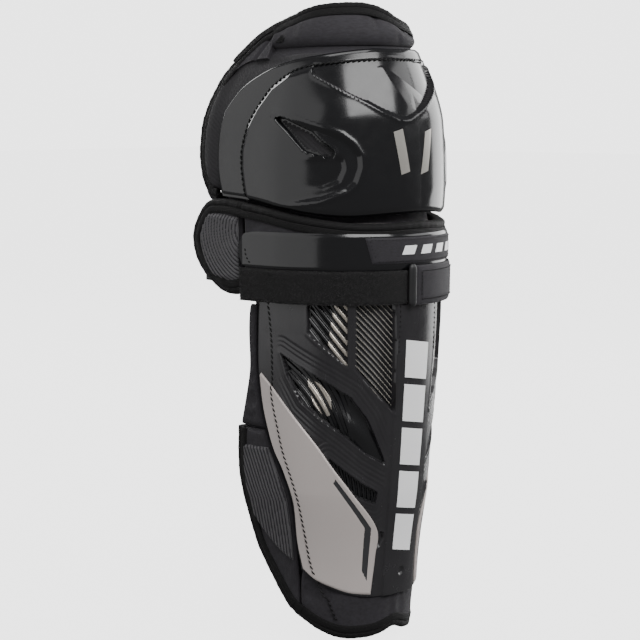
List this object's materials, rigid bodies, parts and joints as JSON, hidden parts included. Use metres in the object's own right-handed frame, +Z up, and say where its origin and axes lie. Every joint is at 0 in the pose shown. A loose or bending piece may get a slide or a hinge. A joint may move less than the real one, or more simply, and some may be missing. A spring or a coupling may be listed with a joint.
{
  "type": "hockey shin guard",
  "caption": "Hockey shin guard: glossy knee cup, padded thigh flap, wrap strap and vented shin shell with side windows, folding calf wings and a soft liner.",
  "frame": {"origin": "on the leg axis, 8 mm below the lowest edge of the ankle bumper", "axes": "-Y toward the front of the leg, -X toward the outer side of a right leg, +Z up toward the thigh"},
  "size_m": [0.1711, 0.2075, 0.5138],
  "materials": {
    "gloss_black": "polished moulded thermoplastic",
    "satin_black": "semi-gloss moulded thermoplastic",
    "charcoal_fabric": "smooth woven nylon over foam",
    "edge_tape": "folded knitted edge tape",
    "grey_knit": "ribbed knit",
    "loop_webbing": "brushed loop webbing",
    "taupe_film": "printed satin film",
    "white_print": "plain printed film",
    "silver_print": "metallic print",
    "rubber_black": "moulded rubber",
    "eva_foam": "closed-cell foam"
  },
  "bodies": {
    "shin": {"wrap_pad": "charcoal_fabric", "wrap_binding": "edge_tape", "knee_tongue": "grey_knit", "tendon_band": "gloss_black", "band_label": "charcoal_fabric", "strap_loop": "loop_webbing", "strap_elastic": "loop_webbing", "shin_shell": "satin_black", "window_screen_outer": "grey_knit", "window_screen_inner": "grey_knit", "vent_pod_outer": "gloss_black", "vent_pod_inner": "gloss_black", "side_panel_outer": "taupe_film", "side_panel_inner": "taupe_film", "front_block_1": "white_print", "front_block_2": "white_print", "front_block_3": "white_print", "front_block_4": "white_print", "front_block_5": "white_print", "ankle_rivet": "rubber_black", "shin_foam": "eva_foam", "shin_liner": "grey_knit", "ankle_bumper": "charcoal_fabric", "ankle_binding": "edge_tape", "calf_side_outer": "charcoal_fabric", "calf_side_inner": "charcoal_fabric"},
    "knee": {"knee_cup_shell": "gloss_black", "knee_vent_screen_outer": "satin_black", "knee_vent_screen_inner": "satin_black", "knee_bar_left": "silver_print", "knee_bar_right": "silver_print", "knee_pad": "charcoal_fabric", "knee_pad_binding_outer": "edge_tape", "knee_pad_binding_inner": "edge_tape", "knee_ring_pad": "eva_foam"},
    "flap": {"thigh_flap": "charcoal_fabric", "thigh_flap_binding": "edge_tape"},
    "tab": {"strap_tab": "charcoal_fabric", "strap_tab_hook": "loop_webbing", "strap_tab_grip": "rubber_black"},
    "wing_outer": {"wing_pad_outer": "charcoal_fabric", "wing_knit_outer": "grey_knit", "wing_binding_outer": "edge_tape"},
    "wing_inner": {"wing_pad_inner": "charcoal_fabric", "wing_knit_inner": "grey_knit", "wing_binding_inner": "edge_tape"},
    "calf_outer": {"calf_pad_outer": "charcoal_fabric", "calf_knit_outer": "grey_knit", "calf_binding_outer": "edge_tape"},
    "calf_inner": {"calf_pad_inner": "charcoal_fabric", "calf_knit_inner": "grey_knit", "calf_binding_inner": "edge_tape"}
  },
  "joints": [
    {"name": "knee_flex", "type": "hinge", "parent": "shin", "child": "knee", "pos_m": [0, 0.098, 0.366], "axis": [-1, 0, 0], "range_deg": [0, 15]},
    {"name": "flap_fold", "type": "hinge", "parent": "knee", "child": "flap", "pos_m": [0, 0.034, 0.4876], "axis": [-1, 0, 0], "range_deg": [0, 20]},
    {"name": "tab_peel", "type": "hinge", "parent": "shin", "child": "tab", "pos_m": [0.0663, -0.0556, 0.299], "axis": [0, 0, 1], "range_deg": [0, 100]},
    {"name": "outer_wing_spread", "type": "hinge", "parent": "shin", "child": "wing_outer", "pos_m": [-0.0806, 0.0404, 0.327], "axis": [0, 0, 1], "range_deg": [0, 60]},
    {"name": "inner_wing_spread", "type": "hinge", "parent": "shin", "child": "wing_inner", "pos_m": [0.0806, 0.0404, 0.338], "axis": [0, 0, -1], "range_deg": [0, 60]},
    {"name": "outer_calf_spread", "type": "hinge", "parent": "shin", "child": "calf_outer", "pos_m": [-0.0637, -0.0014, 0.09], "axis": [-0.103, 0, 0.9947], "range_deg": [0, 45]},
    {"name": "inner_calf_spread", "type": "hinge", "parent": "shin", "child": "calf_inner", "pos_m": [0.0637, -0.0014, 0.09], "axis": [-0.103, 0, -0.9947], "range_deg": [0, 45]}
  ]
}
